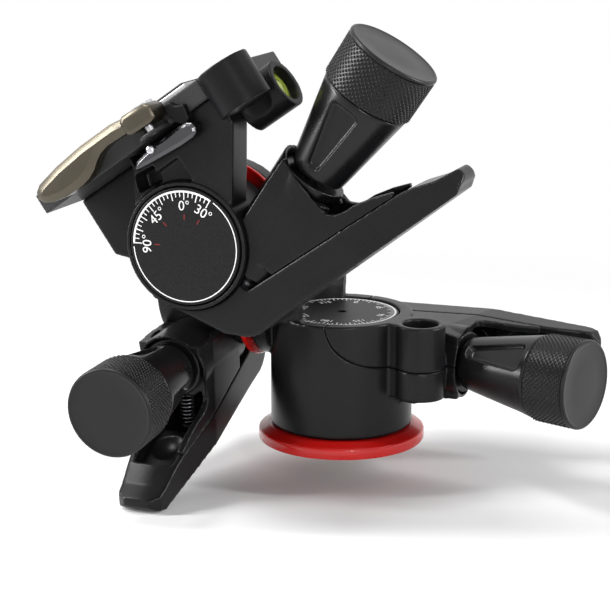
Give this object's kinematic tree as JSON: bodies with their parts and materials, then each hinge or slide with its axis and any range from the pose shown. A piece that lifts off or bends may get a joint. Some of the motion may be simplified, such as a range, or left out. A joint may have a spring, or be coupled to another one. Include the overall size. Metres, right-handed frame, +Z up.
{
  "type": "geared tripod head",
  "caption": "Geared tripod head: pan, tilt and roll worm drives, each with a fluted knob and finger arm, under a clamp platform with levels.",
  "frame": {"origin": "centre of the base's bottom face, where the tripod thread opens, on the pan axis", "axes": "+Z up along the pan axis, -Y to the front where the roll scale faces, +X to the right; posed with the platform rolled 35 degrees as in the picture"},
  "size_m": [0.1727, 0.1306, 0.1689],
  "materials": {
    "casing": "fine-grained satin black",
    "arm": "satin black",
    "carrier": "satin black",
    "knob": "smooth satin black",
    "grip": "diamond knurl",
    "ring": "glossy red",
    "steel": "turned",
    "spring": "bright wire",
    "brass": "cut teeth",
    "scale": "white graduations on black",
    "plate": "grey anodised",
    "lever": "bronze satin",
    "latch": "dark chrome",
    "vial": "green spirit level"
  },
  "bodies": {
    "base": {"base_plate": "casing", "base_ring": "ring", "thread_insert": "brass", "pan_spindle": "steel", "pan_wheel": "brass", "pan_dial": "scale", "base_screws": "steel"},
    "pan": {"pan_body": "casing", "pan_casing": "casing", "pan_arm": "arm", "casing_screw": "steel", "pan_pivot_pin": "steel", "pan_spring": "spring", "tilt_spindle": "steel", "tilt_wheel": "brass", "tilt_ring": "ring", "tilt_dial": "scale"},
    "pan_carrier": {"pan_carrier": "carrier"},
    "pan_knob": {"pan_worm": "steel", "pan_knob": "knob", "pan_grip": "grip", "pan_cap": "knob"},
    "tilt": {"tilt_housing": "casing", "tilt_block": "casing", "tilt_arm": "arm", "tilt_screws": "steel", "tilt_pivot_pin": "steel", "tilt_spring": "spring", "roll_spindle": "steel", "roll_wheel": "brass", "roll_ring": "ring", "roll_dial": "scale"},
    "tilt_carrier": {"tilt_carrier": "carrier"},
    "tilt_knob": {"tilt_worm": "steel", "tilt_knob": "knob", "tilt_grip": "grip", "tilt_cap": "knob"},
    "roll": {"platform_housing": "casing", "roll_block": "casing", "roll_arm": "arm", "roll_screws": "steel", "roll_pivot_pin": "steel", "roll_spring": "spring", "clamp_frame": "casing", "lever_pin": "steel", "latch_pin": "steel", "standing_level": "casing", "standing_vial": "vial", "side_level": "casing", "side_vial": "vial"},
    "roll_carrier": {"roll_carrier": "carrier"},
    "roll_knob": {"roll_worm": "steel", "roll_knob": "knob", "roll_grip": "grip", "roll_cap": "knob"},
    "camera_plate": {"camera_plate": "plate", "plate_pad": "grip"},
    "camera_screw": {"camera_screw": "steel"},
    "clamp_lever": {"clamp_lever": "lever"},
    "safety_latch": {"safety_latch": "latch"}
  },
  "joints": [
    {"name": "pan_turn", "type": "hinge", "parent": "base", "child": "pan", "pos_m": [0, 0, 0], "axis": [0, 0, 1], "continuous": true},
    {"name": "tilt_turn", "type": "hinge", "parent": "pan", "child": "tilt", "pos_m": [-0.049, 0, 0.053], "axis": [-1, 0, 0], "range_deg": [-20, 90]},
    {"name": "roll_turn", "type": "hinge", "parent": "tilt", "child": "roll", "pos_m": [-0.0238, -0.066, 0.0843], "axis": [0, -1, 0], "range_deg": [-65, 55]},
    {"name": "pan_release", "type": "hinge", "parent": "pan", "child": "pan_carrier", "pos_m": [-0.00334, 0.02644, 0.03], "axis": [0, 0, 1], "range_deg": [0, 7], "stiffness_Nm_per_rad": 2, "springref_deg": -6.88, "deforming": ["pan_spring"]},
    {"name": "pan_knob_spin", "type": "hinge", "parent": "pan_carrier", "child": "pan_knob", "pos_m": [0.00551, 0.01922, 0.03], "axis": [0.9613, -0.2756, 0], "continuous": true},
    {"name": "tilt_release", "type": "hinge", "parent": "tilt", "child": "tilt_carrier", "pos_m": [-0.049, 0.01202, 0.02921], "axis": [1, 0, 0], "range_deg": [0, 7], "stiffness_Nm_per_rad": 2, "springref_deg": -6.88, "deforming": ["tilt_spring"]},
    {"name": "tilt_knob_spin", "type": "hinge", "parent": "tilt_carrier", "child": "tilt_knob", "pos_m": [-0.049, 0.00126, 0.03304], "axis": [0, -0.998, -0.0628], "continuous": true},
    {"name": "roll_release", "type": "hinge", "parent": "roll", "child": "roll_carrier", "pos_m": [-0.00909, -0.066, 0.06207], "axis": [0, 1, 0], "range_deg": [0, 7], "stiffness_Nm_per_rad": 2, "springref_deg": -6.88, "deforming": ["roll_spring"]},
    {"name": "roll_knob_spin", "type": "hinge", "parent": "roll_carrier", "child": "roll_knob", "pos_m": [-0.00708, -0.066, 0.07332], "axis": [0.549, 0, 0.8358], "continuous": true},
    {"name": "plate_lift", "type": "slide", "parent": "roll", "child": "camera_plate", "axis": [-0.5736, 0, 0.8192], "range_m": [0, 0.012]},
    {"name": "camera_screw_spin", "type": "hinge", "parent": "camera_plate", "child": "camera_screw", "pos_m": [-0.0467, -0.05575, 0.12137], "axis": [-0.5736, 0, 0.8192], "continuous": true},
    {"name": "clamp_lever_swing", "type": "hinge", "parent": "roll", "child": "clamp_lever", "pos_m": [-0.03269, -0.0841, 0.12141], "axis": [-0.5736, 0, 0.8192], "range_deg": [0, 70]},
    {"name": "safety_latch_swing", "type": "hinge", "parent": "roll", "child": "safety_latch", "pos_m": [-0.03257, -0.079, 0.116], "axis": [0, 1, 0], "range_deg": [0, 12], "stiffness_Nm_per_rad": 0.05, "springref_deg": -11.46}
  ],
  "couplings": [
    {"joint": "pan_knob_spin", "follows": "pan_turn", "ratio": -40},
    {"joint": "tilt_knob_spin", "follows": "tilt_turn", "ratio": 40},
    {"joint": "roll_knob_spin", "follows": "roll_turn", "ratio": 40}
  ]
}
